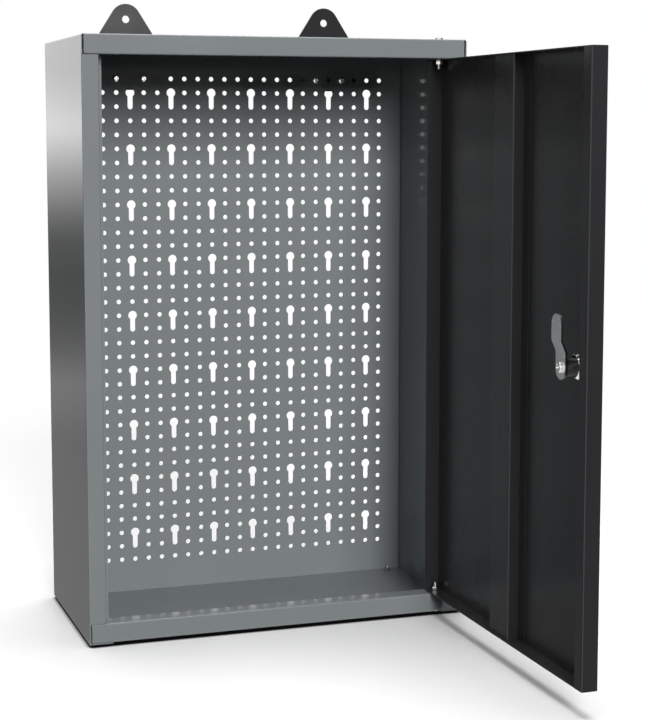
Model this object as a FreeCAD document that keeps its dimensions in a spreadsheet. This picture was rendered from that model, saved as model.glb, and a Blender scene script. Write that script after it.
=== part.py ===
import FreeCAD, Part
import Sketcher
import math
import os
import re

from FreeCAD import Placement, Rotation, Vector

# Steel wall cabinet with a perforated back, two hanging lugs and an inset door with a cam lock.
# Millimetres. X runs to the right, Y from the room to the wall, Z up.
# The origin lies on the wall, midway between the holes of the two hanging lugs.
# The door stands open at a right angle, with the lock's cam pointing up.

doc = FreeCAD.newDocument("wall_cabinet")

# driving dimensions
dimensions = {
    # body
    "body_width": 400,
    "body_depth": 200,
    "body_height": 600,
    "sheet_gauge": 1,
    "bend_radius": 1.5,
    "corner_radius": 2.5,
    "side_flange": 17,
    "top_flange": 19.5,
    "bottom_flange": 19.5,
    "rebate_depth": 18.5,
    "stop_lip": 6,
    "flange_slit": 1.5,
    "butt_gap": 0.4,
    "foot_width": 23.5,
    # perforated panel
    "panel_inset": 18.5,
    "hole_pitch": 15,
    "first_row": 37.5,
    "keyhole_side": 40,
    "keyhole_across": 45,
    "keyhole_down": 60,
    "keyhole_head": 9.6,
    "keyhole_slot": 5.6,
    "round_hole": 5,
    # hanging lugs
    "lug_side": 87.5,
    "lug_rise": 26,
    "lug_width": 72,
    "lug_gauge": 2,
    "lug_bend": 3,
    "lug_apex": 16.4,
    "lug_hole": 8,
    "lug_drop": 12.2,
    "lug_shelf": 16,
    "lug_clearance": 0.8,
    # fasteners
    "bolt_diameter": 4,
    "hex_flats": 7,
    "hex_head": 2.8,
    "hex_turn": 30,
    "nut_height": 3.2,
    "pan_head": 8,
    "pan_height": 2.6,
    "hole_clearance": 0.25,
    "thread_clearance": 0.03,
    "short_tail": 2,
    "washer_outer": 9,
    "washer_gauge": 0.8,
    "floor_bolt_side": 18.5,
    "floor_bolt_back": 28,
    # door
    "door_depth": 16,
    "door_hinge_gap": 3,
    "door_lock_gap": 2.6,
    "door_play": 0.4,
    "return_width": 14,
    "stiffener_width": 42,
    "stiffener_depth": 12,
    "stiffener_flange": 13.5,
    "door_open": 90,
    # hinge
    "hinge_inset": 7.7,
    "hinge_setback": 6.9,
    "pivot_clearance": 0.06,
    "hinge_tail": 4.5,
    "hinge_head": 1.8,
    # cam lock
    "lock_backset": 45,
    "lock_rise": 1.3,
    "lock_body": 19,
    "lock_flats": 16,
    "lock_length": 16,
    "lock_rim": 23,
    "lock_rim_gauge": 2,
    "lock_fit": 0.15,
    "lock_nut_flats": 22,
    "lock_nut_height": 4,
    "plug_diameter": 13,
    "plug_clearance": 0.06,
    "plug_rim": 16,
    "key_slit": 1.2,
    "key_width": 6.5,
    "key_depth": 8,
    "spigot_flats": 7,
    "spigot_diameter": 9,
    "cam_gap": 0.35,
    "cam_gauge": 2,
    "cam_width": 18.8,
    "cam_reach": 47.4,
    "cam_tail": 11,
    "cam_crank": 4.4,
    "crank_start": 13.5,
    "crank_end": 23.5,
    "cam_screw_head": 10.4,
    "cam_screw_height": 2.8,
    "cam_screw_shank": 5,
    "cam_screw_depth": 8,
    # one overrun for all cuts
    "overrun": 2,
}
sizes = doc.addObject("Spreadsheet::Sheet", "sizes")
workings = doc.addObject("Spreadsheet::Sheet", "workings")
for row, (name, value) in enumerate(dimensions.items(), start=1):
    sizes.set("A%d" % row, str(value))
    sizes.setAlias("A%d" % row, name)
doc.recompute()

# how closely an edge lies on a plane or along an axis when edges are picked
pick_tolerance = 1e-5

# straight facets in a keyhole's head and in its slot's end, and round a repeated screw or nut bore
head_facets = 8
slot_facets = 3
screw_facets = 12
hex_sides = 6

# places that several pieces share, written in the sheet's names
half = "body_width / 2"
front = "(-body_depth)"
roof = "(-lug_rise)"
base = "(-lug_rise - body_height)"
floor = "(%s + sheet_gauge)" % base
lug_x = "(body_width / 2 - lug_side)"
screw_row = "(%s - first_row)" % roof
keyhole_top = "(first_row + hole_pitch)"
keyhole_columns = "(floor((body_width - 2 * keyhole_side) / keyhole_across) + 1)"
keyhole_rows = "(floor((body_height - 2 * %s) / keyhole_down) + 1)" % keyhole_top
panel_back = "(-panel_inset + sheet_gauge)"
rebate_back = "(%s + rebate_depth + sheet_gauge)" % front
head_edge = "(%s - top_flange)" % roof
sill_edge = "(%s + bottom_flange)" % floor
bend_stub = "(bend_radius + sheet_gauge)"
hinge_x = "(%s - side_flange - door_hinge_gap - hinge_inset)" % half
hinge_y = "(%s + hinge_setback)" % front
floor_bolt_x = "(%s - floor_bolt_side)" % half
floor_bolt_y = "(-floor_bolt_back)"
door_gap = "(washer_gauge + door_play)"
door_top = "(%s - %s)" % (head_edge, door_gap)
door_low = "(%s + %s)" % (sill_edge, door_gap)
door_width = "(body_width - 2 * side_flange - door_hinge_gap - door_lock_gap)"
bolt_hole = "(bolt_diameter / 2 + hole_clearance)"
nut_bore = "(bolt_diameter / 2 + thread_clearance)"
pivot_bore = "(bolt_diameter / 2 + pivot_clearance)"

# places in the door's own frame: hinge axis at zero, free edge towards -X, outer skin towards -Y
hinge_edge = "hinge_inset"
free_edge = "(hinge_inset - %s)" % door_width
skin_out = "(-hinge_setback)"
skin_in = "(sheet_gauge - hinge_setback)"
door_inner = "(door_depth - hinge_setback)"
lock_x = "(%s + lock_backset)" % free_edge
lock_z = "((%s + %s) / 2 + lock_rise)" % (door_top, door_low)
lock_end = "(lock_length - hinge_setback)"
cam_front = "(%s + cam_gap)" % lock_end
cam_back = "(%s + cam_gauge)" % cam_front


# shared tools of the model

def sized(text):
    # puts the sheet's name before each of its names
    return re.sub(r"\b(%s)\b" % "|".join(dimensions), r"sizes.\1", text)


def new_body(label):
    body = doc.addObject("PartDesign::Body", label)
    body.Label = label
    return body


def new_sketch(body, role, label, offset=None):
    # a sketch on one of the body's own planes, moved along the plane's normal
    sketch = body.newObject("Sketcher::SketchObject", label)
    plane = [item for item in body.Origin.OriginFeatures if item.Role == role][0]
    sketch.AttachmentSupport = [(plane, "")]
    sketch.MapMode = "FlatFace"
    if offset:
        sketch.setExpression("AttachmentOffset.Base.z", sized(offset))
    return sketch


def measure(text):
    # number that a text in the sheet's names stands for
    workings.set("A1", "=" + sized(text))
    workings.recompute()
    return float(workings.get("A1"))


def spot(place):
    return Vector(measure(place[0]), measure(place[1]), 0)


def hold(sketch, kind, part, point, text):
    # distance of a point from the sketch's origin, bound to the sheet
    drawn = sketch.getPoint(part, point)
    start = drawn.x if kind == "DistanceX" else drawn.y
    number = sketch.addConstraint(Sketcher.Constraint(kind, -1, 1, part, point, start))
    sketch.setExpression("Constraints[%d]" % number, sized(text))


def hold_point(sketch, part, point, place):
    hold(sketch, "DistanceX", part, point, place[0])
    hold(sketch, "DistanceY", part, point, place[1])


def hold_radius(sketch, part, text):
    number = sketch.addConstraint(Sketcher.Constraint("Radius", part, sketch.Geometry[part].Radius))
    sketch.setExpression("Constraints[%d]" % number, sized(text))


def join(sketch, first, first_end, second, second_end):
    sketch.addConstraint(Sketcher.Constraint("Coincident", first, first_end, second, second_end))


def touch(sketch, first, first_end, second, second_end):
    sketch.addConstraint(Sketcher.Constraint("Tangent", first, first_end, second, second_end))


def line(sketch, start, end):
    return sketch.addGeometry(Part.LineSegment(start, end))


def arc(sketch, centre, radius, start, end):
    return sketch.addGeometry(Part.ArcOfCircle(Part.Circle(centre, Vector(0, 0, 1), radius), start, end))


def around(centre, radius, turn):
    return centre + Vector(radius * math.cos(turn), radius * math.sin(turn), 0)


def outline(sketch, places):
    # closed straight-sided outline
    points = [spot(place) for place in places]
    lines = [line(sketch, point, points[(number + 1) % len(points)]) for number, point in enumerate(points)]
    for number, this in enumerate(lines):
        join(sketch, this, 2, lines[(number + 1) % len(lines)], 1)
    for this, place in zip(lines, places):
        hold_point(sketch, this, 1, place)


def box_outline(sketch, left, right, low, high):
    outline(sketch, [(left, low), (right, low), (right, high), (left, high)])


def circle(sketch, place, radius):
    number = sketch.addGeometry(Part.Circle(spot(place), Vector(0, 0, 1), measure(radius)))
    hold_point(sketch, number, 3, place)
    hold_radius(sketch, number, radius)


def even_outline(sketch, place, reach, sides):
    # outline of equal straight sides, with its corners at one reach from the centre
    places = []
    for number in range(sides):
        turn = "(%d * 360 deg / %d)" % (number, sides)
        across = "%s + %s * cos(%s)" % (place[0], reach, turn)
        up = "%s + %s * sin(%s)" % (place[1], reach, turn)
        places.append((across, up))
    outline(sketch, places)


def double_flat(sketch, place, radius, flats):
    # round outline with a flat above and a flat below
    rise = "%s / 2" % flats
    high = "%s + %s" % (place[1], rise)
    low = "%s - %s" % (place[1], rise)
    centre = spot(place)
    reach = measure(radius)
    turn = math.asin(measure(rise) / reach)
    right_arc = arc(sketch, centre, reach, -turn, turn)
    left_arc = arc(sketch, centre, reach, math.pi - turn, math.pi + turn)
    top = line(sketch, around(centre, reach, turn), around(centre, reach, math.pi - turn))
    under = line(sketch, around(centre, reach, math.pi + turn), around(centre, reach, -turn))
    join(sketch, right_arc, 2, top, 1)
    join(sketch, top, 2, left_arc, 1)
    join(sketch, left_arc, 2, under, 1)
    join(sketch, under, 2, right_arc, 1)
    for side in (right_arc, left_arc):
        hold_point(sketch, side, 3, place)
        hold_radius(sketch, side, radius)
    for flat, level in ((top, high), (under, low)):
        for end in (1, 2):
            hold(sketch, "DistanceY", flat, end, level)


def pad(body, sketch, length, both=False, back=False):
    feature = body.newObject("PartDesign::Pad", sketch.Name + "_pad")
    feature.Profile = sketch
    feature.setExpression("Length", sized(length))
    feature.SideType = "Symmetric" if both else "One side"
    feature.Reversed = back
    return feature


def pocket(body, sketch, length, both=False, along=False):
    # cuts against the sketch's normal, or along it
    doc.recompute()
    before = body.Shape.Volume
    feature = body.newObject("PartDesign::Pocket", sketch.Name + "_cut")
    feature.Profile = sketch
    feature.setExpression("Length", sized(length))
    feature.SideType = "Symmetric" if both else "One side"
    feature.Reversed = along
    doc.recompute()
    if not body.Shape.Volume < before:
        raise RuntimeError(sketch.Name + " cuts nothing")
    return feature


def round_edges(body, label, radius, chosen):
    dress_edges(body, label, "Fillet", "Radius", radius, chosen)


def bevel_edges(body, label, size, chosen):
    dress_edges(body, label, "Chamfer", "Size", size, chosen)


def dress_edges(body, label, kind, measured, size, chosen):
    # rounds or bevels the edges of the body so far that pass the test
    doc.recompute()
    stock = body.Tip
    solid = stock.Shape
    box = solid.BoundBox
    picked = ["Edge%d" % number for number, edge in enumerate(solid.Edges, 1) if chosen(edge, box)]
    if not picked:
        raise RuntimeError(label + " finds no edge")
    feature = body.newObject("PartDesign::" + kind, label)
    feature.Base = (stock, picked)
    feature.setExpression(measured, sized(size))


def runs_along(edge, axis):
    # straight edge along X, Y or Z
    step = edge.Vertexes[-1].Point - edge.Vertexes[0].Point
    return len(edge.Vertexes) > 1 and abs(abs(step[axis]) - step.Length) < pick_tolerance


def at(value, bound):
    return abs(value - bound) < pick_tolerance


def place_by(thing, across="0", depth="0", up="0"):
    thing.setExpression("Placement.Base.x", sized(across))
    thing.setExpression("Placement.Base.y", sized(depth))
    thing.setExpression("Placement.Base.z", sized(up))


def on_door(thing):
    # the door's own frame, turned open about the hinge
    thing.Placement = Placement(Vector(), Rotation(Vector(0, 0, 1), float(sizes.get("door_open"))))
    place_by(thing, hinge_x, hinge_y)


def cylinder(label, radius, height):
    thing = doc.addObject("Part::Cylinder", label)
    thing.setExpression("Radius", sized(radius))
    thing.setExpression("Height", sized(height))
    return thing


def over_flats(half_width, sides):
    # distance of an even-sided outline's corners, from that of its flats
    return "(%s / cos(180 deg / %d))" % (half_width, sides)


def prism(label, sides, half_width, height):
    thing = doc.addObject("Part::Prism", label)
    thing.Polygon = sides
    thing.setExpression("Circumradius", sized(over_flats(half_width, sides)))
    thing.setExpression("Height", sized(height))
    return thing


def fused(label, pieces):
    thing = doc.addObject("Part::MultiFuse", label)
    thing.Shapes = pieces
    thing.Refine = True
    return thing


def cut(label, stock, tools):
    tool = tools[0] if len(tools) == 1 else fused(label + "_tools", tools)
    thing = doc.addObject("Part::Cut", label)
    thing.Base = stock
    thing.Tool = tool
    thing.Label = label
    return thing


def group(label, pieces):
    thing = doc.addObject("Part::Compound", label)
    thing.Links = pieces
    thing.Label = label
    return thing


def drill(label, radius, length, across, depth, up):
    # upright cutting cylinder that starts one overrun below its place
    tool = cylinder(label, radius, "%s + 2 * overrun" % length)
    place_by(tool, across, depth, "%s - overrun" % up)
    return tool


# body: one sheet bent over both sides and the top, with the door's rebate folded at its front

def rebate(label, sign):
    # front flange, return and stop lip of one side, with its bends
    body = new_body(label)
    foot = "(%s + butt_gap)" % sill_edge
    sketch = new_sketch(body, "XY_Plane", label + "_section", foot)
    wall = "%d * %s" % (sign, half)
    inner = "%d * (%s - side_flange)" % (sign, half)
    behind = "%d * (%s - side_flange + sheet_gauge)" % (sign, half)
    lip = "%d * (%s - side_flange - stop_lip)" % (sign, half)
    wall_in = "%d * (%s - sheet_gauge)" % (sign, half)
    face = "%s + sheet_gauge" % front
    stop = "%s + rebate_depth" % front
    bend = "%s + %s" % (front, bend_stub)
    outline(sketch, [
        (wall, front), (inner, front), (inner, stop), (lip, stop), (lip, rebate_back),
        (behind, rebate_back), (behind, face), (wall_in, face), (wall_in, bend), (wall, bend)])
    pad(body, sketch, "%s - %s - 2 * butt_gap" % (head_edge, sill_edge))
    round_edges(body, label + "_bends", "bend_radius",
                lambda edge, box: runs_along(edge, 2) and at(edge.BoundBox.YMax, box.YMin))
    return body


def head_flange():
    # front flange of the top with its return
    body = new_body("head_flange")
    sketch = new_sketch(body, "YZ_Plane", "head_section")
    face = "%s + sheet_gauge" % front
    bend = "%s + %s" % (front, bend_stub)
    under = "%s - sheet_gauge" % roof
    shelf = "%s + sheet_gauge" % head_edge
    outline(sketch, [
        (front, roof), (front, head_edge), (rebate_back, head_edge), (rebate_back, shelf),
        (face, shelf), (face, under), (bend, under), (bend, roof)])
    pad(body, sketch, "body_width - 2 * (sheet_gauge + flange_slit)", both=True)
    round_edges(body, "head_bends", "bend_radius",
                lambda edge, box: runs_along(edge, 0) and at(edge.BoundBox.YMax, box.YMin))
    return body


def wrap_shell():
    # sides, top and the feet that are turned in under the bottom panel
    body = new_body("wrap_shell")
    sketch = new_sketch(body, "XZ_Plane", "wrap_section")
    wall_in = "%s - sheet_gauge" % half
    foot_in = "%s - foot_width" % half
    under = "%s - sheet_gauge" % roof
    outline(sketch, [
        ("-" + half, base), ("-(%s)" % foot_in, base), ("-(%s)" % foot_in, floor),
        ("-(%s)" % wall_in, floor), ("-(%s)" % wall_in, under), (wall_in, under), (wall_in, floor),
        (foot_in, floor), (foot_in, base), (half, base), (half, roof), ("-" + half, roof)])
    pad(body, sketch, "body_depth")
    round_edges(body, "wrap_corners", "corner_radius",
                lambda edge, box: runs_along(edge, 1) and at(abs(edge.BoundBox.XMax), box.XMax)
                and at(edge.BoundBox.ZMax, box.ZMax))
    # room for the bends of the three flanges
    room = new_sketch(body, "XZ_Plane", "bend_room", "body_depth")
    low = "(%s + butt_gap)" % sill_edge
    high = "(%s - butt_gap)" % head_edge
    out = "%s + overrun" % half
    slit = "%s - sheet_gauge - flange_slit" % half
    box_outline(room, "-(%s)" % out, "-(%s)" % wall_in, low, high)
    box_outline(room, wall_in, out, low, high)
    box_outline(room, "-(%s)" % slit, slit, under, "%s + overrun" % roof)
    pocket(body, room, bend_stub)
    return body


def body_wrap():
    rebates = [rebate("left_rebate", -1), rebate("right_rebate", 1)]
    shell = fused("wrap_fused", [wrap_shell(), head_flange()] + rebates)
    tools = []
    for name, sign in (("left", "-"), ("right", "")):
        notch = doc.addObject("Part::Box", name + "_lug_notch")
        notch.setExpression("Length", sized("lug_width + 2 * lug_clearance"))
        notch.setExpression("Width", sized("lug_gauge + lug_clearance + overrun"))
        notch.setExpression("Height", sized("sheet_gauge + 2 * overrun"))
        place_by(notch, "%s%s - lug_width / 2 - lug_clearance" % (sign, lug_x),
                 "-lug_gauge - lug_clearance", "%s - sheet_gauge - overrun" % roof)
        tools.append(notch)
        spot_across = sign + floor_bolt_x
        tools.append(drill(name + "_foot_hole", bolt_hole, "sheet_gauge", spot_across, floor_bolt_y, base))
    tools.append(drill("head_hinge_hole", bolt_hole, "top_flange", hinge_x, hinge_y, head_edge))
    return cut("body_wrap", shell, tools)


def bottom_panel():
    body = new_body("bottom_panel")
    sketch = new_sketch(body, "YZ_Plane", "bottom_section")
    face = "%s + sheet_gauge" % front
    top = "%s + sheet_gauge" % floor
    under = "%s - sheet_gauge" % sill_edge
    outline(sketch, [
        ("0", floor), (front, floor), (front, sill_edge), (rebate_back, sill_edge), (rebate_back, under),
        (face, under), (face, top), ("0", top)])
    pad(body, sketch, "body_width - 2 * sheet_gauge", both=True)
    round_edges(body, "bottom_bends", "bend_radius",
                lambda edge, box: runs_along(edge, 0) and at(edge.BoundBox.YMax, box.YMin))
    slits = new_sketch(body, "XZ_Plane", "bottom_slits", "body_depth")
    inside = "%s - sheet_gauge - flange_slit" % half
    outside = "%s + overrun" % half
    low = "%s - overrun" % floor
    high = "%s + overrun" % sill_edge
    box_outline(slits, "-(%s)" % outside, "-(%s)" % inside, low, high)
    box_outline(slits, inside, outside, low, high)
    pocket(body, slits, "rebate_depth + sheet_gauge + butt_gap")
    holes = new_sketch(body, "XY_Plane", "bottom_holes", "%s - overrun" % floor)
    for sign in ("-", ""):
        circle(holes, (sign + floor_bolt_x, floor_bolt_y), bolt_hole)
    circle(holes, (hinge_x, hinge_y), bolt_hole)
    pocket(body, holes, "bottom_flange + 2 * overrun", along=True)
    return body


def keyhole(sketch, across, up):
    # round head with a slot that runs one pitch down to its round end, both in a few straight facets
    mouth = "asin(keyhole_slot / keyhole_head)"
    places = []
    for number in range(head_facets + 1):
        turn = "(-90 deg + %s + %d * (360 deg - 2 * %s) / %d)" % (mouth, number, mouth, head_facets)
        places.append(("%s + keyhole_head / 2 * cos(%s)" % (across, turn),
                       "%s + keyhole_head / 2 * sin(%s)" % (up, turn)))
    for number in range(slot_facets + 1):
        turn = "(180 deg + %d * 180 deg / %d)" % (number, slot_facets)
        places.append(("%s + keyhole_slot / 2 * cos(%s)" % (across, turn),
                       "%s - hole_pitch + keyhole_slot / 2 * sin(%s)" % (up, turn)))
    outline(sketch, places)


def back_panel():
    # panel with both sides folded back to the wall, and its pattern of keyholes
    body = new_body("back_panel")
    edge = "(%s - sheet_gauge)" % half
    inner = "(%s - 2 * sheet_gauge)" % half
    bottom = "(%s + sheet_gauge)" % floor
    sketch = new_sketch(body, "XY_Plane", "panel_section", bottom)
    outline(sketch, [
        ("-" + edge, "0"), ("-" + edge, "-panel_inset"), (edge, "-panel_inset"), (edge, "0"), (inner, "0"),
        (inner, panel_back), ("-" + inner, panel_back), ("-" + inner, "0")])
    pad(body, sketch, "%s - sheet_gauge - %s" % (roof, bottom))
    round_edges(body, "panel_bends", "bend_radius",
                lambda line, box: runs_along(line, 2) and at(line.BoundBox.YMax, box.YMin))
    screws = new_sketch(body, "XZ_Plane", "panel_screw_holes", "panel_inset + overrun")
    for sign in ("-", ""):
        for side in ("-", "+"):
            circle(screws, ("%s%s %s hole_pitch" % (sign, lug_x, side), screw_row), "round_hole / 2")
    pocket(body, screws, "sheet_gauge + 2 * overrun")
    first = new_sketch(body, "XZ_Plane", "first_keyhole", "panel_inset + overrun")
    across = "(-keyhole_across * (%s - 1) / 2)" % keyhole_columns
    keyhole(first, across, "(%s - %s)" % (roof, keyhole_top))
    opening = pocket(body, first, "sheet_gauge + 2 * overrun")
    pattern = body.newObject("PartDesign::LinearPattern", "keyholes")
    pattern.Originals = [opening]
    pattern.Direction = (first, ["H_Axis"])
    pattern.Direction2 = (first, ["V_Axis"])
    pattern.Reversed2 = True
    pattern.Mode = "Extent"
    pattern.Mode2 = "Extent"
    pattern.setExpression("Length", sized("keyhole_across * (%s - 1)" % keyhole_columns))
    pattern.setExpression("Length2", sized("keyhole_down * (%s - 1)" % keyhole_rows))
    pattern.setExpression("Occurrences", sized(keyhole_columns))
    pattern.setExpression("Occurrences2", sized(keyhole_rows))
    body.Tip = pattern
    return body


# hanging lugs: stepped plates that stand on the panel's back and reach the wall above the body

def hanging_lug(label, sign):
    body = new_body(label)
    side = new_sketch(body, "YZ_Plane", label + "_section")
    low = "(%s - lug_drop)" % screw_row
    shelf = "(%s - lug_shelf)" % roof
    under = "(%s - lug_gauge)" % shelf
    leg_back = "(%s + lug_gauge)" % panel_back
    outline(side, [
        (panel_back, low), (panel_back, shelf), ("-lug_gauge", shelf), ("-lug_gauge", "lug_apex"),
        ("0", "lug_apex"), ("0", under), (leg_back, under), (leg_back, low)])
    pad(body, side, "lug_width", both=True)
    round_edges(body, label + "_bends", "lug_bend",
                lambda edge, box: runs_along(edge, 0) and box.ZMin < edge.BoundBox.ZMin
                and edge.BoundBox.ZMax < box.ZMax
                and (at(edge.BoundBox.YMin, box.YMin) or at(edge.BoundBox.YMax, box.YMax)))
    trim = new_sketch(body, "XZ_Plane", label + "_outline", "-overrun")
    lug_outline(trim, low)
    pocket(body, trim, "panel_inset + 2 * overrun", along=True)
    holes = new_sketch(body, "XZ_Plane", label + "_wall_hole", "-overrun")
    circle(holes, ("0", "0"), "lug_hole / 2")
    pocket(body, holes, "lug_gauge + 2 * overrun", along=True)
    screws = new_sketch(body, "XZ_Plane", label + "_screw_holes", "panel_inset + overrun")
    for turn in ("-", ""):
        circle(screws, (turn + "hole_pitch", screw_row), bolt_hole)
    pocket(body, screws, "sheet_gauge + lug_gauge + 2 * overrun")
    place_by(body, sign + lug_x)
    return body


def lug_outline(sketch, low):
    # frame round the lug's front outline: straight foot, sloped shoulders and a round head
    wide = "lug_width / 2"
    out = "(%s + overrun)" % wide
    box_outline(sketch, "-" + out, out, "%s - overrun" % low, "lug_apex + overrun")
    centre = Vector()
    apex = measure("lug_apex")
    corners = [("-" + wide, roof), ("-" + wide, low), (wide, low), (wide, roof)]
    points = [spot(corner) for corner in corners]
    shoulder = points[3]
    turn = math.atan2(shoulder.y, shoulder.x) + math.acos(apex / shoulder.Length)
    left = line(sketch, points[0], points[1])
    foot = line(sketch, points[1], points[2])
    right = line(sketch, points[2], points[3])
    right_slope = line(sketch, points[3], around(centre, apex, turn))
    head = arc(sketch, centre, apex, turn, math.pi - turn)
    left_slope = line(sketch, around(centre, apex, math.pi - turn), points[0])
    join(sketch, left, 2, foot, 1)
    join(sketch, foot, 2, right, 1)
    join(sketch, right, 2, right_slope, 1)
    touch(sketch, right_slope, 2, head, 1)
    touch(sketch, head, 2, left_slope, 1)
    join(sketch, left_slope, 2, left, 1)
    for number, side in enumerate((left, foot, right, right_slope)):
        hold_point(sketch, side, 1, corners[number])
    hold_point(sketch, head, 3, ("0", "0"))
    hold_radius(sketch, head, "lug_apex")


# fasteners

def pan_screw(label, length, place):
    # flat round head in front of its seat, shank behind it
    body = new_body(label)
    head = new_sketch(body, "XZ_Plane", label + "_head")
    even_outline(head, ("0", "0"), "pan_head / 2", screw_facets)
    pad(body, head, "pan_height")
    shank = new_sketch(body, "XZ_Plane", label + "_shank")
    even_outline(shank, ("0", "0"), "bolt_diameter / 2", screw_facets)
    pad(body, shank, length, back=True)
    place_by(body, *place)
    return body


def hex_bolt(label, height, length, head_up):
    # hexagon head and round shank along Z, from the head's seat at zero
    head = prism(label + "_head", hex_sides, "hex_flats / 2", height)
    shank = cylinder(label + "_shank", "bolt_diameter / 2", length)
    if head_up:
        place_by(shank, up="-(%s)" % length)
    else:
        place_by(head, up="-" + height)
    bolt = fused(label, [head, shank])
    bolt.Label = label
    # one pair of flats faces the sides
    bolt.Placement = Placement(Vector(), Rotation(Vector(0, 0, 1), float(sizes.get("hex_turn"))))
    return bolt


def nut(label):
    # hexagon nut along Z, from zero up
    blank = prism(label + "_blank", hex_sides, "hex_flats / 2", "nut_height")
    bore = prism(label + "_bore", screw_facets, nut_bore, "nut_height + 2 * overrun")
    place_by(bore, up="-overrun")
    return cut(label, blank, [bore])


def lug_fasteners():
    # two screws through the panel into each lug, with nuts behind
    screws = []
    nuts = []
    stack = "sheet_gauge + lug_gauge"
    number = 0
    for sign in ("-", ""):
        for side in ("-", "+"):
            number += 1
            across = "%s%s %s hole_pitch" % (sign, lug_x, side)
            length = "%s + nut_height + short_tail" % stack
            screws.append(pan_screw("lug_screw_%d" % number, length, (across, "-panel_inset", screw_row)))
            piece = nut("lug_nut_%d" % number)
            piece.Placement = Placement(Vector(), Rotation(Vector(1, 0, 0), -90))
            place_by(piece, across, "-panel_inset + %s" % stack, screw_row)
            nuts.append(piece)
    return [group("lug_screws", screws), group("lug_nuts", nuts)]


def floor_fasteners():
    # a bolt from below through each foot and the bottom panel, with a nut on the floor
    bolts = []
    nuts = []
    for name, sign in (("left", "-"), ("right", "")):
        length = "2 * sheet_gauge + nut_height + short_tail"
        bolt = hex_bolt("%s_floor_bolt" % name, "hex_head", length, False)
        place_by(bolt, sign + floor_bolt_x, floor_bolt_y, base)
        bolts.append(bolt)
        piece = nut("%s_floor_nut" % name)
        place_by(piece, sign + floor_bolt_x, floor_bolt_y, "%s + sheet_gauge" % floor)
        nuts.append(piece)
    return [group("floor_bolts", bolts), group("floor_nuts", nuts)]


def hinge_fasteners():
    # the door turns on two long bolts, held by nuts inside its top and bottom folds
    reach = "%s + sheet_gauge + door_play + nut_height + hinge_tail" % door_gap
    top_bolt = hex_bolt("top_hinge_bolt", "hinge_head", "top_flange + %s" % reach, True)
    place_by(top_bolt, hinge_x, hinge_y, roof)
    low_bolt = hex_bolt("bottom_hinge_bolt", "hinge_head", "bottom_flange + %s" % reach, False)
    place_by(low_bolt, hinge_x, hinge_y, floor)
    top_nut = nut("top_hinge_nut")
    place_by(top_nut, hinge_x, hinge_y, "%s - sheet_gauge - door_play - nut_height" % door_top)
    low_nut = nut("bottom_hinge_nut")
    place_by(low_nut, hinge_x, hinge_y, "%s + sheet_gauge + door_play" % door_low)
    blank = cylinder("washer_blank", "washer_outer / 2", "washer_gauge")
    bore = cylinder("washer_bore", bolt_hole, "washer_gauge + 2 * overrun")
    place_by(bore, up="-overrun")
    washer = cut("bottom_hinge_washer", blank, [bore])
    place_by(washer, hinge_x, hinge_y, sill_edge)
    return [top_bolt, low_bolt, top_nut, low_nut, washer]


# door

def door_panel():
    # pan with folded edges, a return on the free edge, the lock's hole and the two pivot holes
    body = new_body("door_panel")
    inward = "-(%s)" % door_inner
    face = new_sketch(body, "XZ_Plane", "door_face", inward)
    box_outline(face, free_edge, hinge_edge, door_low, door_top)
    pad(body, face, "door_depth")
    round_edges(body, "door_skin_bends", "bend_radius",
                lambda edge, box: at(edge.BoundBox.YMax, box.YMin)
                or (runs_along(edge, 2) and at(edge.BoundBox.XMax, box.XMin)))
    hollow = new_sketch(body, "XZ_Plane", "door_hollow", inward)
    box_outline(hollow, "%s + sheet_gauge" % free_edge, "%s - sheet_gauge" % hinge_edge,
                "%s + sheet_gauge" % door_low, "%s - sheet_gauge" % door_top)
    pocket(body, hollow, "door_depth - sheet_gauge", along=True)
    edge = new_sketch(body, "XZ_Plane", "door_return", inward)
    box_outline(edge, "%s + bend_radius" % free_edge, "%s + return_width" % free_edge,
                "%s + sheet_gauge" % door_low, "%s - sheet_gauge" % door_top)
    pad(body, edge, "sheet_gauge")
    lock = new_sketch(body, "XZ_Plane", "door_lock_hole", "hinge_setback + overrun")
    double_flat(lock, (lock_x, lock_z), "(lock_body / 2 + lock_fit)", "(lock_flats + 2 * lock_fit)")
    pocket(body, lock, "sheet_gauge + 2 * overrun")
    pivots = new_sketch(body, "XY_Plane", "door_pivots", "%s - overrun" % door_low)
    circle(pivots, ("0", "0"), pivot_bore)
    pocket(body, pivots, "%s - %s + 2 * overrun" % (door_top, door_low), along=True)
    on_door(body)
    return body


def door_stiffener():
    # hat channel down the middle of the door's inner skin
    body = new_body("door_stiffener")
    sketch = new_sketch(body, "XY_Plane", "stiffener_section", "%s + sheet_gauge" % door_low)
    middle = "((%s + %s) / 2)" % (free_edge, hinge_edge)
    wall = "stiffener_width / 2"
    toe = "(%s + stiffener_flange)" % wall
    inside = "(%s - sheet_gauge)" % wall
    lap = "%s + sheet_gauge" % skin_in
    crown = "%s + stiffener_depth" % skin_in
    under = "%s + stiffener_depth - sheet_gauge" % skin_in
    outline(sketch, [
        ("%s - %s" % (middle, toe), skin_in), ("%s - %s" % (middle, inside), skin_in),
        ("%s - %s" % (middle, inside), under), ("%s + %s" % (middle, inside), under),
        ("%s + %s" % (middle, inside), skin_in), ("%s + %s" % (middle, toe), skin_in),
        ("%s + %s" % (middle, toe), lap), ("%s + %s" % (middle, wall), lap),
        ("%s + %s" % (middle, wall), crown), ("%s - %s" % (middle, wall), crown),
        ("%s - %s" % (middle, wall), lap), ("%s - %s" % (middle, toe), lap)])
    pad(body, sketch, "%s - %s - 2 * sheet_gauge" % (door_top, door_low))
    round_edges(body, "stiffener_bends", "bend_radius",
                lambda edge, box: runs_along(edge, 2) and at(edge.BoundBox.YMin, box.YMax))
    on_door(body)
    return body


# cam lock, modelled in the door's own frame

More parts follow.
